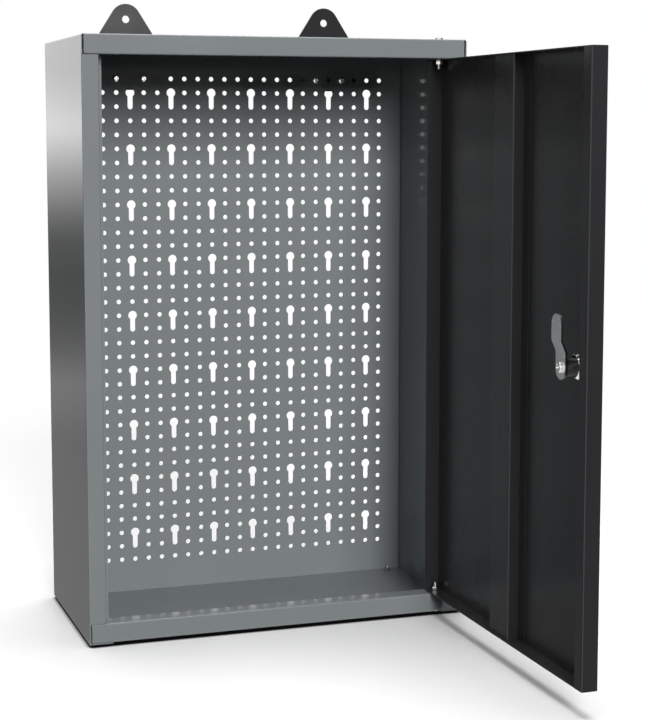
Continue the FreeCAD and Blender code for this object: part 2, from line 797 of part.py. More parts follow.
def lock_disc(body, label, radius, start, length):
    # round stage of a lock piece from a depth towards the outside
    sketch = new_sketch(body, "XZ_Plane", label, "-(%s)" % start)
    circle(sketch, (lock_x, lock_z), radius)
    return pad(body, sketch, length)


def lock_housing():
    body = new_body("lock_housing")
    lock_disc(body, "housing_rim", "lock_rim / 2", skin_out, "lock_rim_gauge")
    bevel_edges(body, "housing_rim_bevel", "lock_rim_gauge / 2",
                lambda edge, box: at(edge.BoundBox.YMax, box.YMin))
    barrel = new_sketch(body, "XZ_Plane", "housing_barrel", "-(%s)" % lock_end)
    double_flat(barrel, (lock_x, lock_z), "(lock_body / 2)", "lock_flats")
    pad(body, barrel, "lock_length")
    rim = new_sketch(body, "XZ_Plane", "housing_plug_rim", "hinge_setback + lock_rim_gauge + overrun")
    circle(rim, (lock_x, lock_z), "plug_rim / 2 + plug_clearance")
    pocket(body, rim, "lock_rim_gauge / 2 + overrun")
    bore = new_sketch(body, "XZ_Plane", "housing_bore", "hinge_setback + lock_rim_gauge + overrun")
    circle(bore, (lock_x, lock_z), "plug_diameter / 2 + plug_clearance")
    pocket(body, bore, "lock_rim_gauge + lock_length + 2 * overrun")
    on_door(body)
    return body


def lock_nut():
    body = new_body("lock_nut")
    seat = "-(%s + lock_nut_height)" % skin_in
    sketch = new_sketch(body, "XZ_Plane", "lock_nut_face", seat)
    even_outline(sketch, (lock_x, lock_z), over_flats("lock_nut_flats / 2", hex_sides), hex_sides)
    circle(sketch, (lock_x, lock_z), "lock_body / 2 + thread_clearance")
    pad(body, sketch, "lock_nut_height")
    on_door(body)
    return body


def lock_plug():
    # turning plug with its rim, key slit and the flat-sided spigot that carries the cam
    body = new_body("lock_plug")
    lock_disc(body, "plug_face", "plug_rim / 2", "%s - lock_rim_gauge / 2 - cam_gap" % skin_out,
              "lock_rim_gauge / 2")
    lock_disc(body, "plug_barrel", "plug_diameter / 2", cam_front,
              "%s - %s + lock_rim_gauge / 2 + cam_gap" % (cam_front, skin_out))
    spigot = new_sketch(body, "XZ_Plane", "plug_spigot", "-(%s)" % cam_back)
    double_flat(spigot, (lock_x, lock_z), "(spigot_diameter / 2)", "spigot_flats")
    pad(body, spigot, "cam_gauge")
    thread = new_sketch(body, "XZ_Plane", "plug_thread", "-(%s + overrun)" % cam_back)
    circle(thread, (lock_x, lock_z), "cam_screw_shank / 2 + thread_clearance")
    pocket(body, thread, "cam_screw_depth + 2 * overrun", along=True)
    slit = new_sketch(body, "XZ_Plane", "plug_key_slit", "hinge_setback + lock_rim_gauge + overrun")
    box_outline(slit, "%s - key_slit / 2" % lock_x, "%s + key_slit / 2" % lock_x,
                "%s - key_width / 2" % lock_z, "%s + key_width / 2" % lock_z)
    pocket(body, slit, "key_depth")
    on_door(body)
    return body


def cam_plan(sketch):
    # frame round the cam's outline: straight sides with a round tail and a round tip
    wide = "cam_width / 2"
    out = "(%s + overrun)" % wide
    box_outline(sketch, "%s - %s" % (lock_x, out), "%s + %s" % (lock_x, out),
                "%s - cam_tail - overrun" % lock_z, "%s + cam_reach + overrun" % lock_z)
    top = (lock_x, "%s + cam_reach - %s" % (lock_z, wide))
    bottom = (lock_x, "%s - cam_tail + %s" % (lock_z, wide))
    radius = measure(wide)
    tip = arc(sketch, spot(top), radius, 0, math.pi)
    tail = arc(sketch, spot(bottom), radius, math.pi, 2 * math.pi)
    left = line(sketch, around(spot(top), radius, math.pi), around(spot(bottom), radius, math.pi))
    right = line(sketch, around(spot(bottom), radius, 0), around(spot(top), radius, 0))
    touch(sketch, tip, 2, left, 1)
    touch(sketch, left, 2, tail, 1)
    touch(sketch, tail, 2, right, 1)
    touch(sketch, right, 2, tip, 1)
    hold_point(sketch, tip, 3, top)
    hold_point(sketch, tail, 3, bottom)
    hold_radius(sketch, tip, wide)


def lock_cam():
    # cranked plate: its upper half stands further from the skin, to pass behind the stop lip
    body = new_body("lock_cam")
    side = new_sketch(body, "YZ_Plane", "cam_section", lock_x)
    low = "%s - cam_tail" % lock_z
    start = "%s + crank_start" % lock_z
    end = "%s + crank_end" % lock_z
    high = "%s + cam_reach" % lock_z
    outline(side, [
        (cam_front, low), (cam_back, low), (cam_back, start), ("%s + cam_crank" % cam_back, end),
        ("%s + cam_crank" % cam_back, high), ("%s + cam_crank" % cam_front, high),
        ("%s + cam_crank" % cam_front, end), (cam_front, start)])
    pad(body, side, "cam_width", both=True)
    plan = new_sketch(body, "XZ_Plane", "cam_outline", "-(%s - overrun)" % cam_front)
    cam_plan(plan)
    pocket(body, plan, "cam_gauge + cam_crank + 2 * overrun")
    hole = new_sketch(body, "XZ_Plane", "cam_hole", "-(%s - overrun)" % cam_front)
    double_flat(hole, (lock_x, lock_z), "(spigot_diameter / 2 + thread_clearance)",
                "(spigot_flats + 2 * thread_clearance)")
    pocket(body, hole, "cam_gauge + 2 * overrun")
    on_door(body)
    return body


def cam_screw():
    body = new_body("cam_screw")
    head_end = "%s + cam_screw_height" % cam_back
    lock_disc(body, "cam_screw_top", "cam_screw_head / 2", head_end, "cam_screw_height")
    lock_disc(body, "cam_screw_stem", "cam_screw_shank / 2", cam_back, "cam_screw_depth")
    on_door(body)
    return body


pieces = [body_wrap(), bottom_panel(), back_panel()]
pieces += [hanging_lug("hanging_lug_left", "-"), hanging_lug("hanging_lug_right", "")]
pieces += lug_fasteners() + floor_fasteners() + hinge_fasteners()
pieces += [door_panel(), door_stiffener()]
pieces += [lock_housing(), lock_nut(), lock_plug(), lock_cam(), cam_screw()]
doc.recompute()

# nothing is written unless every object and every solid is sound
for item in doc.Objects:
    if "Invalid" in item.State or "Error" in item.State:
        raise RuntimeError("%s failed: %s" % (item.Name, item.State))
for piece in pieces:
    if piece.Shape.isNull() or not piece.Shape.isValid() or not piece.Shape.Solids:
        raise RuntimeError(piece.Label + " is not a sound solid")

os.makedirs("parts", exist_ok=True)
for piece in pieces:
    piece.Shape.exportStep("parts/%s.step" % piece.Label)
    box = piece.Shape.BoundBox
    print("%-22s solids %d volume %10.1f  X %8.2f %8.2f  Y %8.2f %8.2f  Z %8.2f %8.2f" % (
        piece.Label, len(piece.Shape.Solids), piece.Shape.Volume,
        box.XMin, box.XMax, box.YMin, box.YMax, box.ZMin, box.ZMax))
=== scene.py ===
import bpy
import math
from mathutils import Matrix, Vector
from mathutils.geometry import tessellate_polygon


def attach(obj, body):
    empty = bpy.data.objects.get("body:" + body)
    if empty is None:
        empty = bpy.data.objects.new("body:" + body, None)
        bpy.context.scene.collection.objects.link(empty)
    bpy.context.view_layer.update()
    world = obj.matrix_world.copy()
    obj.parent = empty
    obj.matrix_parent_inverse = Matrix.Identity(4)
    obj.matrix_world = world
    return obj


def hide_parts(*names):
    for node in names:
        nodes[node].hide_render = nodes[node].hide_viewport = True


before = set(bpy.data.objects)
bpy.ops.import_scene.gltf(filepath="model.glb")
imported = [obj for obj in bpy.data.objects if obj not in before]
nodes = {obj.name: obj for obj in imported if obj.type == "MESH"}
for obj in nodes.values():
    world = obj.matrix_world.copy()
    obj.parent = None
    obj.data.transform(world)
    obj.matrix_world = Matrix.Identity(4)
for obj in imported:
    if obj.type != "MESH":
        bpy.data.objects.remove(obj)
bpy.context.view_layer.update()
mm = 0.001
tiny = 0.01      # less than any step in a shape, in mm or as a share
sharpAngle = 32  # degrees, a fold beyond this keeps a hard edge
print("frame loaded,", len(nodes), "nodes")


# mesh helpers: everything is measured in millimetres until it reaches the mesh

def newShell():
    return {"points": [], "known": {}, "faces": []}


def addPoint(shell, spot):
    key = (round(spot[0], 4), round(spot[1], 4), round(spot[2], 4))
    if key not in shell["known"]:
        shell["known"][key] = len(shell["points"])
        shell["points"].append((spot[0] * mm, spot[1] * mm, spot[2] * mm))
    return shell["known"][key]


def addFace(shell, *corners):
    ring = list(dict.fromkeys(addPoint(shell, corner) for corner in corners))
    if len(ring) > 2:  # corners that fall together close a cone or a flat end
        shell["faces"].append(ring)


def seatAt(origin, right, up, out):
    origin, right, up, out = Vector(origin), Vector(right), Vector(up), Vector(out)
    return lambda u, v, w: origin + right * u + up * v + out * w


def addTurned(shell, place, path, steps, loop=False):
    # a path of (radius, height) stations taken round an axis, either of them may change with the angle
    rings = []
    for station in path:
        ring = []
        for k in range(steps):
            angle = 2 * math.pi * k / steps
            radius, height = station(angle) if callable(station) else station
            ring.append(place(radius * math.cos(angle), radius * math.sin(angle), height))
        rings.append(ring)
    pairs = list(zip(rings, rings[1:]))
    if loop:
        pairs.append((rings[-1], rings[0]))
    for low, high in pairs:
        for k in range(steps):
            n = (k + 1) % steps
            addFace(shell, low[k], low[n], high[n], high[k])


def makePiece(name, shell, material, body, stands):
    mesh = bpy.data.meshes.new(name)
    mesh.from_pydata(shell["points"], [], shell["faces"])
    mesh.shade_smooth()
    mesh.set_sharp_from_angle(angle=math.radians(sharpAngle))
    mesh.materials.append(material)
    piece = bpy.data.objects.new(name, mesh)
    bpy.context.scene.collection.objects.link(piece)
    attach(piece, body)
    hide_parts(*stands)


# material helpers

def hexColor(text):
    def linear(part):
        value = int(part, 16) / 255
        return value / 12.92 if value <= 0.04045 else ((value + 0.055) / 1.055) ** 2.4
    return (linear(text[1:3]), linear(text[3:5]), linear(text[5:7]), 1)


def addNode(tree, kind, links=None, **settings):
    made = tree.nodes.new(kind)
    for name, value in settings.items():
        setattr(made, name, value)
    for socket, value in (links or {}).items():
        if isinstance(value, bpy.types.NodeSocket):
            tree.links.new(value, made.inputs[socket])
        else:
            made.inputs[socket].default_value = value
    return made


def perSize(size):
    return 1 / (size * mm)  # noise scale that gives spots of about this size in mm


def newMaterial(name, **sockets):
    material = bpy.data.materials.new(name)
    material.use_nodes = True
    tree = material.node_tree
    shader = tree.nodes["Principled BSDF"]
    for socket, value in sockets.items():
        shader.inputs[socket.replace("_", " ")].default_value = value
    where = addNode(tree, "ShaderNodeTexCoord").outputs["Object"]
    return material, tree, shader, where


def powderCoat(name, look):
    # stoved powder coat on sheet steel: an even skin with a fine orange peel that softens the highlights,
    # and a faint cloudiness of tone and gloss from the spray
    material, tree, shader, where = newMaterial(name, Specular_IOR_Level=look["gloss"])
    peel = addNode(tree, "ShaderNodeTexNoise", {"Vector": where, "Scale": perSize(look["peelSize"]),
                                                "Detail": 2.0, "Roughness": 0.45})
    cloud = addNode(tree, "ShaderNodeTexNoise", {"Vector": where, "Scale": perSize(look["cloudSize"]),
                                                 "Detail": 3.0, "Roughness": 0.55})
    grit = addNode(tree, "ShaderNodeTexNoise", {"Vector": where, "Scale": perSize(look["gritSize"]),
                                                "Detail": 1.0})
    tint = addNode(tree, "ShaderNodeMapRange", {"Value": cloud.outputs["Fac"],
                                                "From Min": 0.1, "From Max": 0.9})
    speck = addNode(tree, "ShaderNodeMapRange", {"Value": grit.outputs["Fac"],
                                                 "From Min": 0.35, "From Max": 0.75})
    coat = addNode(tree, "ShaderNodeMix", {"Factor": tint.outputs["Result"], "A": hexColor(look["dark"]),
                                           "B": hexColor(look["light"])}, data_type="RGBA")
    fleck = addNode(tree, "ShaderNodeMath", {0: speck.outputs["Result"], 1: look["fleckShare"]},
                    operation="MULTIPLY")
    paint = addNode(tree, "ShaderNodeMix", {"Factor": fleck.outputs["Value"], "A": coat.outputs["Result"],
                                            "B": hexColor(look["fleck"])}, data_type="RGBA")
    dull = addNode(tree, "ShaderNodeMapRange", {"Value": cloud.outputs["Fac"],
                                                "From Min": 0.1, "From Max": 0.9,
                                                "To Min": look["smooth"], "To Max": look["rough"]})
    bump = addNode(tree, "ShaderNodeBump", {"Height": peel.outputs["Fac"], "Strength": look["peel"],
                                            "Distance": look["peelDepth"] * mm})
    tree.links.new(paint.outputs["Result"], shader.inputs["Base Color"])
    tree.links.new(dull.outputs["Result"], shader.inputs["Roughness"])
    tree.links.new(bump.outputs["Normal"], shader.inputs["Normal"])
    return material


def platedSteel(name, look):
    # plated steel: the plating keeps the drawn lines of the metal under it and clouds over in places
    material, tree, shader, where = newMaterial(name, Metallic=1.0)
    drawn = addNode(tree, "ShaderNodeMapping", {"Vector": where, "Scale": look["drawnAlong"]})
    lines = addNode(tree, "ShaderNodeTexNoise", {"Vector": drawn.outputs["Vector"],
                                                 "Scale": perSize(look["lineSize"]), "Detail": 3.0})
    cloud = addNode(tree, "ShaderNodeTexNoise", {"Vector": where, "Scale": perSize(look["cloudSize"]),
                                                 "Detail": 4.0, "Roughness": 0.6})
    spread = addNode(tree, "ShaderNodeMapRange", {"Value": cloud.outputs["Fac"],
                                                  "From Min": 0.3, "From Max": 0.7})
    plate = addNode(tree, "ShaderNodeMix", {"Factor": spread.outputs["Result"], "A": hexColor(look["dark"]),
                                            "B": hexColor(look["light"])}, data_type="RGBA")
    dull = addNode(tree, "ShaderNodeMapRange", {"Value": cloud.outputs["Fac"],
                                                "From Min": 0.25, "From Max": 0.75,
                                                "To Min": look["smooth"], "To Max": look["rough"]})
    bump = addNode(tree, "ShaderNodeBump", {"Height": lines.outputs["Fac"], "Strength": look["lines"],
                                            "Distance": look["lineDepth"] * mm})
    tree.links.new(plate.outputs["Result"], shader.inputs["Base Color"])
    tree.links.new(dull.outputs["Result"], shader.inputs["Roughness"])
    tree.links.new(bump.outputs["Normal"], shader.inputs["Normal"])
    return material


# sizes below are in mm; the grit of a powder coat is about 0.1, drawn here coarse enough to show

# glossy grey coat on the cabinet, smooth enough to mirror the room
greyPowder = powderCoat("greyPowderCoat", {
    "dark": "#83888a", "light": "#8a8f90", "fleck": "#787d7f", "fleckShare": 0.25, "gloss": 0.45,
    "peelSize": 2.2, "peelDepth": 0.02, "peel": 0.1, "cloudSize": 160, "gritSize": 0.6,
    "smooth": 0.08, "rough": 0.12})
# satin black coat on the door, with broad soft highlights
blackPowder = powderCoat("blackSatinPowderCoat", {
    "dark": "#28282a", "light": "#2d2d2f", "fleck": "#363638", "fleckShare": 0.25, "gloss": 0.42,
    "peelSize": 2.0, "peelDepth": 0.02, "peel": 0.2, "cloudSize": 140, "gritSize": 0.6,
    "smooth": 0.24, "rough": 0.3})
# near-black coat on the hanging lugs, with a hard shine along their edges
lugPowder = powderCoat("darkLugPowderCoat", {
    "dark": "#1e1e20", "light": "#242426", "fleck": "#2e2e30", "fleckShare": 0.35, "gloss": 1.0,
    "peelSize": 1.6, "peelDepth": 0.02, "peel": 0.2, "cloudSize": 40, "gritSize": 0.5,
    "smooth": 0.14, "rough": 0.2})
# black coat on the cast zinc lock, pebbled by the casting under it
blackCasting = powderCoat("blackCoatedZincCasting", {
    "dark": "#131314", "light": "#1a1a1b", "fleck": "#262627", "fleckShare": 0.3, "gloss": 0.5,
    "peelSize": 0.9, "peelDepth": 0.03, "peel": 0.4, "cloudSize": 12, "gritSize": 0.4,
    "smooth": 0.22, "rough": 0.34})
# bright zinc on the floor bolts, their nuts, the lug nuts and the washer: cool and a little clouded
zincSteel = platedSteel("brightZincPlatedSteel", {
    "dark": "#c3c5c8", "light": "#d8dadc", "smooth": 0.16, "rough": 0.3, "cloudSize": 3,
    "lineSize": 0.5, "drawnAlong": (1.0, 1.0, 0.2), "lines": 0.15, "lineDepth": 0.01})
# dull zinc on the pressed cam: very pale, with drawn lines along it
camSteel = platedSteel("dullZincPlatedCamSteel", {
    "dark": "#ebeded", "light": "#f3f5f5", "smooth": 0.2, "rough": 0.28, "cloudSize": 6,
    "lineSize": 0.4, "drawnAlong": (1.0, 1.0, 0.12), "lines": 0.2, "lineDepth": 0.01})
# nickel on the screws, the hinge bolts and nuts and the lock's plug and nut: warm and close to a mirror
nickel = platedSteel("nickelPlatedSteel", {
    "dark": "#d2d0cc", "light": "#e2e0dc", "smooth": 0.1, "rough": 0.18, "cloudSize": 5,
    "lineSize": 0.4, "drawnAlong": (1.0, 1.0, 1.0), "lines": 0.08, "lineDepth": 0.008})
print("materials made")


# perforated back: one sheet folded back along both sides, with a grid of round holes and keyholes

perforatedBack = {"front": -18.5, "gauge": 1, "half": 199, "bend": 1.5, "bendSteps": 6,
                  "top": -27, "bottom": -624,
                  "pitch": 15, "columns": 24, "rows": 36, "firstRow": -63.5,
                  "roundHole": 5, "roundSteps": 20,
                  "keyHead": 9.6, "keySlot": 5.6, "keySteps": 22,
                  "keyColumn": (1, 3), "keyRow": (1, 4)}  # first place and step between keyholes


def cellTemplate(outer, hole):
    # outer and hole loops run the same way round; gives the triangles between them
    loops = [[Vector((x, z, 0)) for x, z in loop] for loop in (outer, hole)]
    points = list(outer) + list(hole)
    triangles = []
    for a, b, c in tessellate_polygon(loops):
        (ax, az), (bx, bz), (cx, cz) = points[a], points[b], points[c]
        turn = (bx - ax) * (cz - az) - (bz - az) * (cx - ax)
        triangles.append((a, b, c) if turn > 0 else (a, c, b))
    return points, triangles, hole


def keyholeLoop(look):
    head, slot, drop = look["keyHead"] / 2, look["keySlot"] / 2, look["pitch"]
    neck = math.asin(slot / head)
    loop = []
    for k in range(look["keySteps"] + 1):
        angle = -math.pi / 2 + neck + (2 * math.pi - 2 * neck) * k / look["keySteps"]
        loop.append((head * math.cos(angle), head * math.sin(angle)))
    for k in range(look["keySteps"] // 2 + 1):
        angle = math.pi + math.pi * k / (look["keySteps"] // 2)
        loop.append((slot * math.cos(angle), -drop + slot * math.sin(angle)))
    return loop


def buildPerforatedBack(look):
    shell = newShell()
    pitch, halfPitch = look["pitch"], look["pitch"] / 2
    front, back = look["front"], look["front"] + look["gauge"]
    turns = [2 * math.pi * k / look["roundSteps"] for k in range(look["roundSteps"])]
    ring = [(look["roundHole"] / 2 * math.cos(a), look["roundHole"] / 2 * math.sin(a)) for a in turns]
    square = [(-halfPitch, -halfPitch), (halfPitch, -halfPitch),
              (halfPitch, halfPitch), (-halfPitch, halfPitch)]
    double = [(-halfPitch, -halfPitch - pitch), (halfPitch, -halfPitch - pitch), (halfPitch, -halfPitch),
              (halfPitch, halfPitch), (-halfPitch, halfPitch), (-halfPitch, -halfPitch)]
    roundCell = cellTemplate(square, ring)
    keyCell = cellTemplate(double, keyholeLoop(look))

    def stamp(cell, x, z):
        points, triangles, hole = cell
        for a, b, c in triangles:
            corners = [(x + points[n][0], z + points[n][1]) for n in (a, b, c)]
            addFace(shell, *[(u, front, v) for u, v in corners])
            addFace(shell, *[(u, back, v) for u, v in reversed(corners)])
        for (au, av), (bu, bv) in zip(hole, hole[1:] + hole[:1]):
            addFace(shell, (x + au, front, z + av), (x + bu, front, z + bv),
                    (x + bu, back, z + bv), (x + au, back, z + av))

    firstColumn = -pitch * (look["columns"] - 1) / 2
    covered = set()
    for row in range(look["rows"]):
        for column in range(look["columns"]):
            if (row, column) in covered:
                continue
            x, z = firstColumn + pitch * column, look["firstRow"] - pitch * row
            keyed = (row % look["keyRow"][1] == look["keyRow"][0]
                     and column % look["keyColumn"][1] == look["keyColumn"][0])
            if keyed:
                covered.add((row + 1, column))
            stamp(keyCell if keyed else roundCell, x, z)

    # the plain border, the two bends and the side folds share the grid's lines
    flatEnd = look["half"] - look["bend"]
    for side in (-1, 1):
        fold = [(side * look["half"], 0), (side * look["half"], front + look["bend"])]
        inner = [(side * (look["half"] - look["gauge"]), 0),
                 (side * (look["half"] - look["gauge"]), front + look["bend"])]
        for k in range(1, look["bendSteps"] + 1):
            angle = math.pi / 2 * k / look["bendSteps"]
            small = look["bend"] - look["gauge"]
            fold.append((side * (flatEnd + look["bend"] * math.cos(angle)),
                         front + look["bend"] - look["bend"] * math.sin(angle)))
            inner.append((side * (flatEnd + small * math.cos(angle)),
                          front + look["bend"] - small * math.sin(angle)))
        if side < 0:
            outside, inside = fold, inner
            for k in range(look["columns"] + 1):
                line = firstColumn - halfPitch + pitch * k
                outside.append((line, front))
                inside.append((line, back))
        else:
            outside, inside = outside + fold[::-1], inside + inner[::-1]
    gridLeft = firstColumn - halfPitch - tiny
    levels = [look["top"]]
    levels += [look["firstRow"] + halfPitch - pitch * k for k in range(look["rows"] + 1)]
    levels += [look["bottom"]]
    for n, (high, low) in enumerate(zip(levels, levels[1:])):
        bordering = n == 0 or n == len(levels) - 2
        for (au, av), (bu, bv), (cu, cv), (du, dv) in zip(outside, outside[1:], inside, inside[1:]):
            if bordering or au < gridLeft or bu > -gridLeft:
                addFace(shell, (au, av, low), (bu, bv, low), (bu, bv, high), (au, av, high))
                addFace(shell, (cu, cv, low), (cu, cv, high), (du, dv, high), (du, dv, low))
        for end, turned in ((0, False), (-1, True)):
            (au, av), (cu, cv) = outside[end], inside[end]
            rim = [(au, av, low), (au, av, high), (cu, cv, high), (cu, cv, low)]
            addFace(shell, *(rim[::-1] if turned else rim))
    for level, turned in ((look["top"], False), (look["bottom"], True)):
        for (au, av), (bu, bv), (cu, cv), (du, dv) in zip(outside, outside[1:], inside, inside[1:]):
            rim = [(au, av, level), (bu, bv, level), (du, dv, level), (cu, cv, level)]
            addFace(shell, *(rim[::-1] if turned else rim))
    return shell


makePiece("perforatedBack", buildPerforatedBack(perforatedBack), greyPowder, "cabinet",
          ["back_panel"])
print("perforated back built")


# screws, bolts and nuts

hexBolt = {"flats": 7, "head": 2.8, "rim": 0.96, "slope": 28, "shank": 2, "pitch": 0.7, "depth": 0.38,
           "tip": 0.2, "lead": 0.25, "start": 0.15, "neck": 0.4, "steps": 36}
hexNut = {"flats": 7, "height": 3.2, "bore": 2.03, "boreCut": 0.35, "rim": 0.96, "slope": 28,
          "bothSides": True, "steps": 36}
panScrew = {"radius": 4, "head": 2.6, "crown": 2.1, "edge": 0.2, "shank": 2, "pitch": 0.7, "depth": 0.38,
            "tip": 0.2, "lead": 0.25, "start": 0.15, "neck": 0.3,
            "armLength": 1.8, "armWidth": 0.45, "armDepth": 1.4, "armWall": 0.15, "armSlope": 1.6,
            "steps": 64, "crownSteps": 8, "faceRings": 18}
camScrew = dict(panScrew, radius=5.2, head=2.8, crown=1.8, shank=2.5, pitch=0.8, depth=0.42,
                armLength=3.1, armWidth=0.8, armDepth=1.8)
ringsPerTurn = 6       # rings that draw one turn of a thread
runOut = 0.25          # share of a thread that is left at its ends
faceMargin = 0.02      # share by which a flat hexagon face stops short of its chamfer
nutTurn = math.pi / 6  # a nut is drawn a twelfth of a turn round from a bolt's head


def threadStations(radius, pitch, depth, start, end):
    # rings along a rolled thread; the ends run out into the core
    count = max(2, math.ceil((end - start) / pitch * ringsPerTurn))

    def station(height):
        def at(angle):
            turn = (height / pitch - angle / (2 * math.pi)) % 1
            fade = min(1, (height - start) / pitch + runOut, (end - height) / pitch + runOut)
            return radius - depth * (1 - fade * (1 - abs(2 * turn - 1))), height
        return at
    return [station(start + (end - start) * k / count) for k in range(count + 1)]


def shankPath(length, look):
    # from the chamfered tip along the rolled thread to the seat at zero
    core, lead = look["shank"] - look["depth"], look["lead"] - length
    path = [(0, -length), (core - look["tip"], -length), (core, lead)]
    path += threadStations(look["shank"], look["pitch"], look["depth"], lead + look["start"], -look["neck"])
    return path + [(look["shank"], 0)]


def hexRadius(flats, turned=0):
    def radius(angle):
        off = (angle + math.pi / 6 + turned) % (math.pi / 3) - math.pi / 6
        return flats / 2 / math.cos(off)
    return radius


def hexSide(flats, level, inward, turned, rim, slope):
    # the curved edge that a turned chamfer leaves on a hexagon
    radius, start, fall = hexRadius(flats, turned), flats / 2 * rim, math.tan(math.radians(slope))
    return lambda angle: (radius(angle), level + inward * max(0, radius(angle) - start) * fall)


def addHexBolt(shell, place, length, look):
    flats, head, rim = look["flats"], look["head"], look["rim"]
    path = shankPath(length, look)
    path += [lambda angle: (hexRadius(flats)(angle), 0), hexSide(flats, head, -1, 0, rim, look["slope"]),
             (flats / 2 * (rim - faceMargin), head), (0, head)]
    addTurned(shell, place, path, look["steps"])


def addHexNut(shell, place, look):
    flats, height, bore, cut = look["flats"], look["height"], look["bore"], look["boreCut"]
    chamfer = (nutTurn, look["rim"], look["slope"])
    edge = flats / 2 * (look["rim"] - faceMargin)
    path = [(bore, cut), (bore + cut, 0), (edge, 0), hexSide(flats, 0, 1, *chamfer)]
    if look["bothSides"]:
        path += [hexSide(flats, height, -1, *chamfer), (edge, height)]
    else:
        path += [lambda angle: (hexRadius(flats, nutTurn)(angle), height)]
    path += [(bore + cut, height), (bore, height - cut)]
    addTurned(shell, place, path, look["steps"], loop=True)


def crossRecess(look):
    def sunk(across, along):
        wall = min(1, max(0, (look["armWidth"] - abs(across)) / look["armWall"]))
        rest = max(0, 1 - abs(along) / look["armLength"])
        return wall * look["armDepth"] * min(1, rest * look["armSlope"])

    def depth(radius, angle):
        u, v = radius * math.cos(angle), radius * math.sin(angle)
        return max(sunk(u, v), sunk(v, u))
    return depth


def addPanScrew(shell, place, length, look):
    crown, flat = look["crown"], look["radius"] - look["crown"]
    recess = crossRecess(look)

    def dish(radius):
        rise = math.sqrt(max(0, crown ** 2 - max(0, radius - flat) ** 2))
        return lambda angle: (radius, look["head"] - crown + rise - recess(radius, angle))
    path = shankPath(length, look)
    path += [(look["radius"] - look["edge"], 0), (look["radius"], look["edge"])]
    for k in range(look["crownSteps"]):
        path.append(dish(flat + crown * math.cos(math.pi / 2 * k / look["crownSteps"])))
    path += [dish(flat * (1 - k / look["faceRings"])) for k in range(look["faceRings"])]
    path.append((0, look["head"] - recess(0, 0)))
    addTurned(shell, place, path, look["steps"])


lugFasteners = {"across": (-127.5, -97.5, 97.5, 127.5), "level": -63.5, "screw": -18.5, "nut": -12.3,
                "length": 8.2, "spin": 11}
lugScrews, lugNuts = newShell(), newShell()
for x in lugFasteners["across"]:
    spin = math.radians(lugFasteners["spin"] * x % 90)  # each cross stopped where it happened to be tight
    right = (math.cos(spin), 0, math.sin(spin))
    up = (-math.sin(spin), 0, math.cos(spin))
    screwSeat = seatAt((x, lugFasteners["screw"], lugFasteners["level"]), right, up, (0, -1, 0))
    nutSeat = seatAt((x, lugFasteners["nut"], lugFasteners["level"]), (1, 0, 0), (0, 0, 1), (0, -1, 0))
    addPanScrew(lugScrews, screwSeat, lugFasteners["length"], panScrew)
    addHexNut(lugNuts, nutSeat, hexNut)
makePiece("lugScrews", lugScrews, nickel, "cabinet", ["lug_screws"])
makePiece("lugNuts", lugNuts, zincSteel, "cabinet", ["lug_nuts"])

floorFasteners = {"across": (-181.5, 181.5), "back": -28, "bolt": -626, "nut": -624,
                  "length": 7.2, "lead": 1.0}
floorBolts, floorNuts = newShell(), newShell()
for x in floorFasteners["across"]:
    boltSeat = seatAt((x, floorFasteners["back"], floorFasteners["bolt"]), (-1, 0, 0), (0, 1, 0), (0, 0, -1))
    nutSeat = seatAt((x, floorFasteners["back"], floorFasteners["nut"]), (1, 0, 0), (0, 1, 0), (0, 0, 1))
    addHexBolt(floorBolts, boltSeat, floorFasteners["length"], dict(hexBolt, lead=floorFasteners["lead"]))
    addHexNut(floorNuts, nutSeat, hexNut)
makePiece("floorBolts", floorBolts, zincSteel, "cabinet", ["floor_bolts"])
makePiece("floorNuts", floorNuts, zincSteel, "cabinet", ["floor_nuts"])

hingeFasteners = {"axis": (172.3, -193.1), "length": 29.8,
                  "ends": {"top": {"bolt": -26, "head": 1.8, "out": 1, "nut": -51.3},
                           "bottom": {"bolt": -625, "head": 0.98, "out": -1, "nut": -602.9}},
                  # where a 25 degree turn left the nuts tight
                  "nutSides": ((0.9063, 0.4226, 0), (-0.4226, 0.9063, 0))}
for end, spot in hingeFasteners["ends"].items():
    bolt, nut, out = newShell(), newShell(), spot["out"]
    boltSeat = seatAt((*hingeFasteners["axis"], spot["bolt"]), (out, 0, 0), (0, 1, 0), (0, 0, out))
    nutSeat = seatAt((*hingeFasteners["axis"], spot["nut"]), *hingeFasteners["nutSides"], (0, 0, 1))
    addHexBolt(bolt, boltSeat, hingeFasteners["length"], dict(hexBolt, head=spot["head"]))
    addHexNut(nut, nutSeat, hexNut)
    makePiece(end + "HingeBolt", bolt, nickel, "cabinet", [end + "_hinge_bolt"])
    makePiece(end + "HingeNut", nut, nickel, "cabinet", [end + "_hinge_nut"])
print("screws, bolts and nuts built")


# cam lock: threaded barrel with two flats, its nut and the screw that holds the cam

lockBarrel = {"radius": 9.5, "flats": 16, "length": 16, "pitch": 1, "depth": 0.55,
              "tip": 0.2, "start": 0.3, "neck": 0.5,
              "rim": 11.5, "rimGauge": 2, "rimBack": 0.2, "rimEdge": 0.5, "edgeSteps": 5,
              "bore": 6.56, "seat": 8.06, "seatCut": 0.25, "steps": 72}
lockNut = {"flats": 22, "height": 4, "bore": 9.53, "boreCut": 0.35, "rim": 0.91, "slope": 45,
           "bothSides": False, "steps": 72}
lockCentre = (-500.8, -324.2)  # y and z of the lock's axis
skinFace = 179.2               # x of the door's outer face
skinGauge = 1
camScrewSpot = {"face": 160.85, "length": 8,
                # a cross that a 75 degree turn left tight
                "sides": ((0, 0.2588, 0.9659), (0, 0.9659, -0.2588))}


